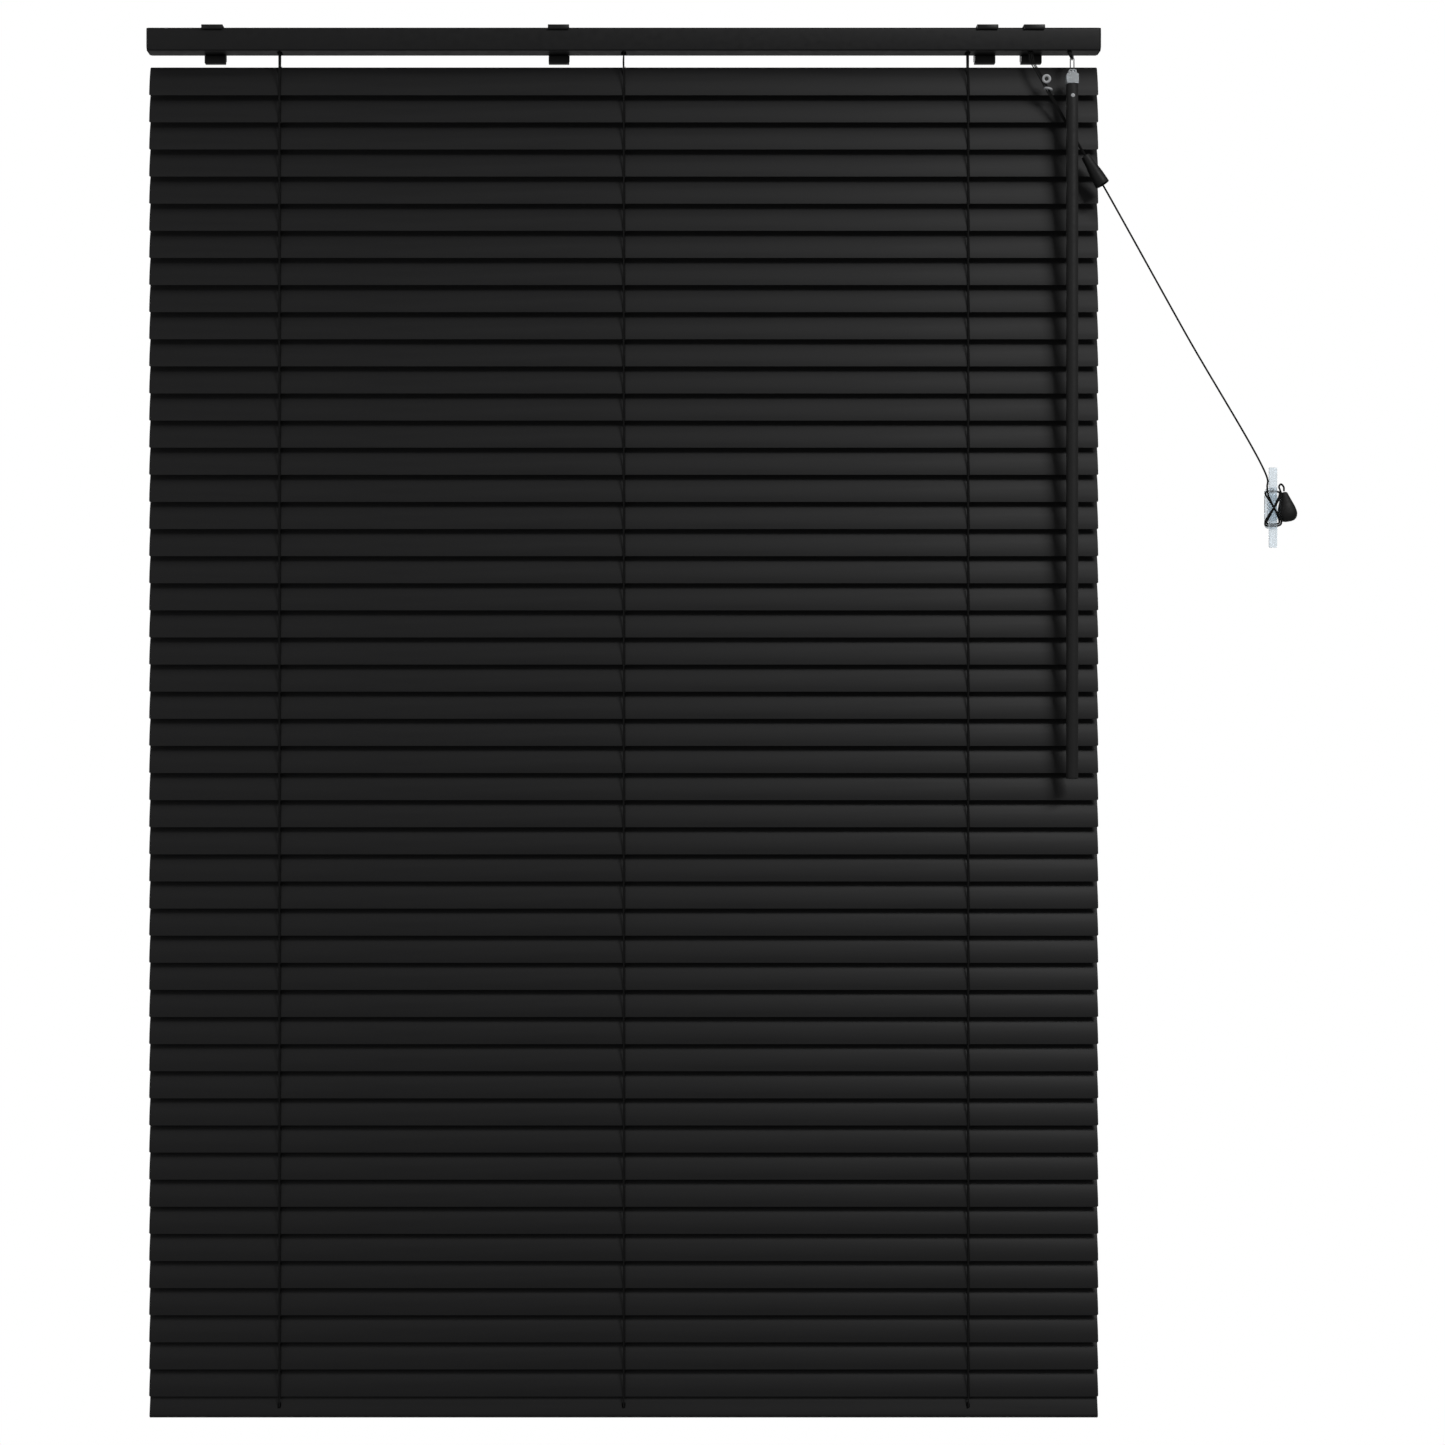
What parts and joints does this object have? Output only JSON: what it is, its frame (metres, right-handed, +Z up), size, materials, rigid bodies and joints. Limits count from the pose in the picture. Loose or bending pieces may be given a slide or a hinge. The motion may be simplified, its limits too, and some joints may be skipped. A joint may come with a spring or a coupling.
{
  "type": "venetian blind",
  "caption": "Black aluminium venetian blind with closed slats, a clip-on headrail, a tilt wand at the right and a pull cord tied round a clear wall cleat.",
  "frame": {"origin": "on the wall plane, level with the top of the headrail, on the blind's centre line", "axes": "+X to the right along the blind seen from the room, +Y into the wall, +Z up"},
  "size_m": [1.0891, 0.0481, 1.3155],
  "materials": {
    "black_paint": "satin baked enamel on steel",
    "slat_paint": "satin baked enamel on aluminium",
    "black_plastic": "fine satin moulding",
    "black_cord": "braided polyester",
    "clear_plastic": "clear, faintly blue",
    "plain_steel": "zinc plated"
  },
  "bodies": {
    "headrail": {"headrail": "black_paint", "cleat": "clear_plastic", "pull_cord": "black_cord"},
    "tilt_shaft": {"tilt_shaft": "plain_steel"},
    "tilt_worm": {"tilt_worm": "black_plastic"},
    "wand_link": {"wand_link": "plain_steel"},
    "wand": {"wand": "black_plastic"},
    "bottom_rail": {"bottom_rail": "black_paint"},
    "ladder_front": {"ladder_front": "black_cord"},
    "ladder_back": {"ladder_back": "black_cord"},
    "tassel": {"tassel": "black_plastic"},
    "slat_01": {"slat_01": "slat_paint"},
    "slat_02": {"slat_02": "slat_paint"},
    "slat_03": {"slat_03": "slat_paint"},
    "slat_04": {"slat_04": "slat_paint"},
    "slat_05": {"slat_05": "slat_paint"},
    "slat_06": {"slat_06": "slat_paint"},
    "slat_07": {"slat_07": "slat_paint"},
    "slat_08": {"slat_08": "slat_paint"},
    "slat_09": {"slat_09": "slat_paint"},
    "slat_10": {"slat_10": "slat_paint"},
    "slat_11": {"slat_11": "slat_paint"},
    "slat_12": {"slat_12": "slat_paint"},
    "slat_13": {"slat_13": "slat_paint"},
    "slat_14": {"slat_14": "slat_paint"},
    "slat_15": {"slat_15": "slat_paint"},
    "slat_16": {"slat_16": "slat_paint"},
    "slat_17": {"slat_17": "slat_paint"},
    "slat_18": {"slat_18": "slat_paint"},
    "slat_19": {"slat_19": "slat_paint"},
    "slat_20": {"slat_20": "slat_paint"},
    "slat_21": {"slat_21": "slat_paint"},
    "slat_22": {"slat_22": "slat_paint"},
    "slat_23": {"slat_23": "slat_paint"},
    "slat_24": {"slat_24": "slat_paint"},
    "slat_25": {"slat_25": "slat_paint"},
    "slat_26": {"slat_26": "slat_paint"},
    "slat_27": {"slat_27": "slat_paint"},
    "slat_28": {"slat_28": "slat_paint"},
    "slat_29": {"slat_29": "slat_paint"},
    "slat_30": {"slat_30": "slat_paint"},
    "slat_31": {"slat_31": "slat_paint"},
    "slat_32": {"slat_32": "slat_paint"},
    "slat_33": {"slat_33": "slat_paint"},
    "slat_34": {"slat_34": "slat_paint"},
    "slat_35": {"slat_35": "slat_paint"},
    "slat_36": {"slat_36": "slat_paint"},
    "slat_37": {"slat_37": "slat_paint"},
    "slat_38": {"slat_38": "slat_paint"},
    "slat_39": {"slat_39": "slat_paint"},
    "slat_40": {"slat_40": "slat_paint"},
    "slat_41": {"slat_41": "slat_paint"},
    "slat_42": {"slat_42": "slat_paint"},
    "slat_43": {"slat_43": "slat_paint"},
    "slat_44": {"slat_44": "slat_paint"},
    "slat_45": {"slat_45": "slat_paint"},
    "slat_46": {"slat_46": "slat_paint"},
    "slat_47": {"slat_47": "slat_paint"},
    "slat_48": {"slat_48": "slat_paint"},
    "slat_49": {"slat_49": "slat_paint"}
  },
  "joints": [
    {"name": "tilt", "type": "hinge", "parent": "headrail", "child": "tilt_shaft", "pos_m": [0, -0.0185, -0.011], "axis": [-1, 0, 0], "range_deg": [0, 144]},
    {"name": "slat_01_tilt", "type": "hinge", "parent": "headrail", "child": "slat_01", "pos_m": [0, -0.0185, -0.0487], "axis": [-1, 0, 0], "range_deg": [0, 144]},
    {"name": "slat_02_tilt", "type": "hinge", "parent": "headrail", "child": "slat_02", "pos_m": [0, -0.0185, -0.07432], "axis": [-1, 0, 0], "range_deg": [0, 144]},
    {"name": "slat_03_tilt", "type": "hinge", "parent": "headrail", "child": "slat_03", "pos_m": [0, -0.0185, -0.09994], "axis": [-1, 0, 0], "range_deg": [0, 144]},
    {"name": "slat_04_tilt", "type": "hinge", "parent": "headrail", "child": "slat_04", "pos_m": [0, -0.0185, -0.12556], "axis": [-1, 0, 0], "range_deg": [0, 144]},
    {"name": "slat_05_tilt", "type": "hinge", "parent": "headrail", "child": "slat_05", "pos_m": [0, -0.0185, -0.15118], "axis": [-1, 0, 0], "range_deg": [0, 144]},
    {"name": "slat_06_tilt", "type": "hinge", "parent": "headrail", "child": "slat_06", "pos_m": [0, -0.0185, -0.1768], "axis": [-1, 0, 0], "range_deg": [0, 144]},
    {"name": "slat_07_tilt", "type": "hinge", "parent": "headrail", "child": "slat_07", "pos_m": [0, -0.0185, -0.20242], "axis": [-1, 0, 0], "range_deg": [0, 144]},
    {"name": "slat_08_tilt", "type": "hinge", "parent": "headrail", "child": "slat_08", "pos_m": [0, -0.0185, -0.22804], "axis": [-1, 0, 0], "range_deg": [0, 144]},
    {"name": "slat_09_tilt", "type": "hinge", "parent": "headrail", "child": "slat_09", "pos_m": [0, -0.0185, -0.25366], "axis": [-1, 0, 0], "range_deg": [0, 144]},
    {"name": "slat_10_tilt", "type": "hinge", "parent": "headrail", "child": "slat_10", "pos_m": [0, -0.0185, -0.27928], "axis": [-1, 0, 0], "range_deg": [0, 144]},
    {"name": "slat_11_tilt", "type": "hinge", "parent": "headrail", "child": "slat_11", "pos_m": [0, -0.0185, -0.3049], "axis": [-1, 0, 0], "range_deg": [0, 144]},
    {"name": "slat_12_tilt", "type": "hinge", "parent": "headrail", "child": "slat_12", "pos_m": [0, -0.0185, -0.33052], "axis": [-1, 0, 0], "range_deg": [0, 144]},
    {"name": "slat_13_tilt", "type": "hinge", "parent": "headrail", "child": "slat_13", "pos_m": [0, -0.0185, -0.35614], "axis": [-1, 0, 0], "range_deg": [0, 144]},
    {"name": "slat_14_tilt", "type": "hinge", "parent": "headrail", "child": "slat_14", "pos_m": [0, -0.0185, -0.38176], "axis": [-1, 0, 0], "range_deg": [0, 144]},
    {"name": "slat_15_tilt", "type": "hinge", "parent": "headrail", "child": "slat_15", "pos_m": [0, -0.0185, -0.40738], "axis": [-1, 0, 0], "range_deg": [0, 144]},
    {"name": "slat_16_tilt", "type": "hinge", "parent": "headrail", "child": "slat_16", "pos_m": [0, -0.0185, -0.433], "axis": [-1, 0, 0], "range_deg": [0, 144]},
    {"name": "slat_17_tilt", "type": "hinge", "parent": "headrail", "child": "slat_17", "pos_m": [0, -0.0185, -0.45862], "axis": [-1, 0, 0], "range_deg": [0, 144]},
    {"name": "slat_18_tilt", "type": "hinge", "parent": "headrail", "child": "slat_18", "pos_m": [0, -0.0185, -0.48424], "axis": [-1, 0, 0], "range_deg": [0, 144]},
    {"name": "slat_19_tilt", "type": "hinge", "parent": "headrail", "child": "slat_19", "pos_m": [0, -0.0185, -0.50986], "axis": [-1, 0, 0], "range_deg": [0, 144]},
    {"name": "slat_20_tilt", "type": "hinge", "parent": "headrail", "child": "slat_20", "pos_m": [0, -0.0185, -0.53548], "axis": [-1, 0, 0], "range_deg": [0, 144]},
    {"name": "slat_21_tilt", "type": "hinge", "parent": "headrail", "child": "slat_21", "pos_m": [0, -0.0185, -0.5611], "axis": [-1, 0, 0], "range_deg": [0, 144]},
    {"name": "slat_22_tilt", "type": "hinge", "parent": "headrail", "child": "slat_22", "pos_m": [0, -0.0185, -0.58672], "axis": [-1, 0, 0], "range_deg": [0, 144]},
    {"name": "slat_23_tilt", "type": "hinge", "parent": "headrail", "child": "slat_23", "pos_m": [0, -0.0185, -0.61234], "axis": [-1, 0, 0], "range_deg": [0, 144]},
    {"name": "slat_24_tilt", "type": "hinge", "parent": "headrail", "child": "slat_24", "pos_m": [0, -0.0185, -0.63796], "axis": [-1, 0, 0], "range_deg": [0, 144]},
    {"name": "slat_25_tilt", "type": "hinge", "parent": "headrail", "child": "slat_25", "pos_m": [0, -0.0185, -0.66358], "axis": [-1, 0, 0], "range_deg": [0, 144]},
    {"name": "slat_26_tilt", "type": "hinge", "parent": "headrail", "child": "slat_26", "pos_m": [0, -0.0185, -0.6892], "axis": [-1, 0, 0], "range_deg": [0, 144]},
    {"name": "slat_27_tilt", "type": "hinge", "parent": "headrail", "child": "slat_27", "pos_m": [0, -0.0185, -0.71482], "axis": [-1, 0, 0], "range_deg": [0, 144]},
    {"name": "slat_28_tilt", "type": "hinge", "parent": "headrail", "child": "slat_28", "pos_m": [0, -0.0185, -0.74044], "axis": [-1, 0, 0], "range_deg": [0, 144]},
    {"name": "slat_29_tilt", "type": "hinge", "parent": "headrail", "child": "slat_29", "pos_m": [0, -0.0185, -0.76606], "axis": [-1, 0, 0], "range_deg": [0, 144]},
    {"name": "slat_30_tilt", "type": "hinge", "parent": "headrail", "child": "slat_30", "pos_m": [0, -0.0185, -0.79168], "axis": [-1, 0, 0], "range_deg": [0, 144]},
    {"name": "slat_31_tilt", "type": "hinge", "parent": "headrail", "child": "slat_31", "pos_m": [0, -0.0185, -0.8173], "axis": [-1, 0, 0], "range_deg": [0, 144]},
    {"name": "slat_32_tilt", "type": "hinge", "parent": "headrail", "child": "slat_32", "pos_m": [0, -0.0185, -0.84292], "axis": [-1, 0, 0], "range_deg": [0, 144]},
    {"name": "slat_33_tilt", "type": "hinge", "parent": "headrail", "child": "slat_33", "pos_m": [0, -0.0185, -0.86854], "axis": [-1, 0, 0], "range_deg": [0, 144]},
    {"name": "slat_34_tilt", "type": "hinge", "parent": "headrail", "child": "slat_34", "pos_m": [0, -0.0185, -0.89416], "axis": [-1, 0, 0], "range_deg": [0, 144]},
    {"name": "slat_35_tilt", "type": "hinge", "parent": "headrail", "child": "slat_35", "pos_m": [0, -0.0185, -0.91978], "axis": [-1, 0, 0], "range_deg": [0, 144]},
    {"name": "slat_36_tilt", "type": "hinge", "parent": "headrail", "child": "slat_36", "pos_m": [0, -0.0185, -0.9454], "axis": [-1, 0, 0], "range_deg": [0, 144]},
    {"name": "slat_37_tilt", "type": "hinge", "parent": "headrail", "child": "slat_37", "pos_m": [0, -0.0185, -0.97102], "axis": [-1, 0, 0], "range_deg": [0, 144]},
    {"name": "slat_38_tilt", "type": "hinge", "parent": "headrail", "child": "slat_38", "pos_m": [0, -0.0185, -0.99664], "axis": [-1, 0, 0], "range_deg": [0, 144]},
    {"name": "slat_39_tilt", "type": "hinge", "parent": "headrail", "child": "slat_39", "pos_m": [0, -0.0185, -1.02226], "axis": [-1, 0, 0], "range_deg": [0, 144]},
    {"name": "slat_40_tilt", "type": "hinge", "parent": "headrail", "child": "slat_40", "pos_m": [0, -0.0185, -1.04788], "axis": [-1, 0, 0], "range_deg": [0, 144]},
    {"name": "slat_41_tilt", "type": "hinge", "parent": "headrail", "child": "slat_41", "pos_m": [0, -0.0185, -1.0735], "axis": [-1, 0, 0], "range_deg": [0, 144]},
    {"name": "slat_42_tilt", "type": "hinge", "parent": "headrail", "child": "slat_42", "pos_m": [0, -0.0185, -1.09912], "axis": [-1, 0, 0], "range_deg": [0, 144]},
    {"name": "slat_43_tilt", "type": "hinge", "parent": "headrail", "child": "slat_43", "pos_m": [0, -0.0185, -1.12474], "axis": [-1, 0, 0], "range_deg": [0, 144]},
    {"name": "slat_44_tilt", "type": "hinge", "parent": "headrail", "child": "slat_44", "pos_m": [0, -0.0185, -1.15036], "axis": [-1, 0, 0], "range_deg": [0, 144]},
    {"name": "slat_45_tilt", "type": "hinge", "parent": "headrail", "child": "slat_45", "pos_m": [0, -0.0185, -1.17598], "axis": [-1, 0, 0], "range_deg": [0, 144]},
    {"name": "slat_46_tilt", "type": "hinge", "parent": "headrail", "child": "slat_46", "pos_m": [0, -0.0185, -1.2016], "axis": [-1, 0, 0], "range_deg": [0, 144]},
    {"name": "slat_47_tilt", "type": "hinge", "parent": "headrail", "child": "slat_47", "pos_m": [0, -0.0185, -1.22722], "axis": [-1, 0, 0], "range_deg": [0, 144]},
    {"name": "slat_48_tilt", "type": "hinge", "parent": "headrail", "child": "slat_48", "pos_m": [0, -0.0185, -1.25284], "axis": [-1, 0, 0], "range_deg": [0, 144]},
    {"name": "slat_49_tilt", "type": "hinge", "parent": "headrail", "child": "slat_49", "pos_m": [0, -0.0185, -1.27846], "axis": [-1, 0, 0], "range_deg": [0, 144]},
    {"name": "bottom_rail_tilt", "type": "hinge", "parent": "headrail", "child": "bottom_rail", "pos_m": [0, -0.0185, -1.302], "axis": [-1, 0, 0], "range_deg": [0, 144]},
    {"name": "ladder_front_shift", "type": "hinge", "parent": "tilt_shaft", "child": "ladder_front", "pos_m": [0, -0.02332, -0.02584], "axis": [-1, 0, 0], "range_deg": [-144, 0]},
    {"name": "ladder_back_shift", "type": "hinge", "parent": "tilt_shaft", "child": "ladder_back", "pos_m": [0, -0.01368, 0.00384], "axis": [-1, 0, 0], "range_deg": [-144, 0]},
    {"name": "worm_spin", "type": "hinge", "parent": "headrail", "child": "tilt_worm", "pos_m": [0.421, -0.01512, -0.01825], "axis": [0, -0.9063, -0.4226], "range_deg": [0, 1440]},
    {"name": "wand_swing", "type": "hinge", "parent": "headrail", "child": "wand_link", "pos_m": [0.421, -0.0425, -0.03102], "axis": [-1, 0, 0], "range_deg": [0, 60]},
    {"name": "wand_spin", "type": "hinge", "parent": "wand_link", "child": "wand", "pos_m": [0.421, -0.0425, -0.043], "axis": [0, 0, -1], "range_deg": [0, 1440]},
    {"name": "tassel_swing", "type": "hinge", "parent": "headrail", "child": "tassel", "pos_m": [0.6267, -0.01, -0.4368], "axis": [0, -1, 0], "range_deg": [0, 45]}
  ],
  "couplings": [
    {"joint": "slat_01_tilt", "follows": "tilt", "ratio": 1},
    {"joint": "slat_02_tilt", "follows": "tilt", "ratio": 1},
    {"joint": "slat_03_tilt", "follows": "tilt", "ratio": 1},
    {"joint": "slat_04_tilt", "follows": "tilt", "ratio": 1},
    {"joint": "slat_05_tilt", "follows": "tilt", "ratio": 1},
    {"joint": "slat_06_tilt", "follows": "tilt", "ratio": 1},
    {"joint": "slat_07_tilt", "follows": "tilt", "ratio": 1},
    {"joint": "slat_08_tilt", "follows": "tilt", "ratio": 1},
    {"joint": "slat_09_tilt", "follows": "tilt", "ratio": 1},
    {"joint": "slat_10_tilt", "follows": "tilt", "ratio": 1},
    {"joint": "slat_11_tilt", "follows": "tilt", "ratio": 1},
    {"joint": "slat_12_tilt", "follows": "tilt", "ratio": 1},
    {"joint": "slat_13_tilt", "follows": "tilt", "ratio": 1},
    {"joint": "slat_14_tilt", "follows": "tilt", "ratio": 1},
    {"joint": "slat_15_tilt", "follows": "tilt", "ratio": 1},
    {"joint": "slat_16_tilt", "follows": "tilt", "ratio": 1},
    {"joint": "slat_17_tilt", "follows": "tilt", "ratio": 1},
    {"joint": "slat_18_tilt", "follows": "tilt", "ratio": 1},
    {"joint": "slat_19_tilt", "follows": "tilt", "ratio": 1},
    {"joint": "slat_20_tilt", "follows": "tilt", "ratio": 1},
    {"joint": "slat_21_tilt", "follows": "tilt", "ratio": 1},
    {"joint": "slat_22_tilt", "follows": "tilt", "ratio": 1},
    {"joint": "slat_23_tilt", "follows": "tilt", "ratio": 1},
    {"joint": "slat_24_tilt", "follows": "tilt", "ratio": 1},
    {"joint": "slat_25_tilt", "follows": "tilt", "ratio": 1},
    {"joint": "slat_26_tilt", "follows": "tilt", "ratio": 1},
    {"joint": "slat_27_tilt", "follows": "tilt", "ratio": 1},
    {"joint": "slat_28_tilt", "follows": "tilt", "ratio": 1},
    {"joint": "slat_29_tilt", "follows": "tilt", "ratio": 1},
    {"joint": "slat_30_tilt", "follows": "tilt", "ratio": 1},
    {"joint": "slat_31_tilt", "follows": "tilt", "ratio": 1},
    {"joint": "slat_32_tilt", "follows": "tilt", "ratio": 1},
    {"joint": "slat_33_tilt", "follows": "tilt", "ratio": 1},
    {"joint": "slat_34_tilt", "follows": "tilt", "ratio": 1},
    {"joint": "slat_35_tilt", "follows": "tilt", "ratio": 1},
    {"joint": "slat_36_tilt", "follows": "tilt", "ratio": 1},
    {"joint": "slat_37_tilt", "follows": "tilt", "ratio": 1},
    {"joint": "slat_38_tilt", "follows": "tilt", "ratio": 1},
    {"joint": "slat_39_tilt", "follows": "tilt", "ratio": 1},
    {"joint": "slat_40_tilt", "follows": "tilt", "ratio": 1},
    {"joint": "slat_41_tilt", "follows": "tilt", "ratio": 1},
    {"joint": "slat_42_tilt", "follows": "tilt", "ratio": 1},
    {"joint": "slat_43_tilt", "follows": "tilt", "ratio": 1},
    {"joint": "slat_44_tilt", "follows": "tilt", "ratio": 1},
    {"joint": "slat_45_tilt", "follows": "tilt", "ratio": 1},
    {"joint": "slat_46_tilt", "follows": "tilt", "ratio": 1},
    {"joint": "slat_47_tilt", "follows": "tilt", "ratio": 1},
    {"joint": "slat_48_tilt", "follows": "tilt", "ratio": 1},
    {"joint": "slat_49_tilt", "follows": "tilt", "ratio": 1},
    {"joint": "bottom_rail_tilt", "follows": "tilt", "ratio": 1},
    {"joint": "ladder_front_shift", "follows": "tilt", "ratio": -1},
    {"joint": "ladder_back_shift", "follows": "tilt", "ratio": -1},
    {"joint": "worm_spin", "follows": "tilt", "ratio": 10},
    {"joint": "wand_spin", "follows": "tilt", "ratio": 10}
  ]
}
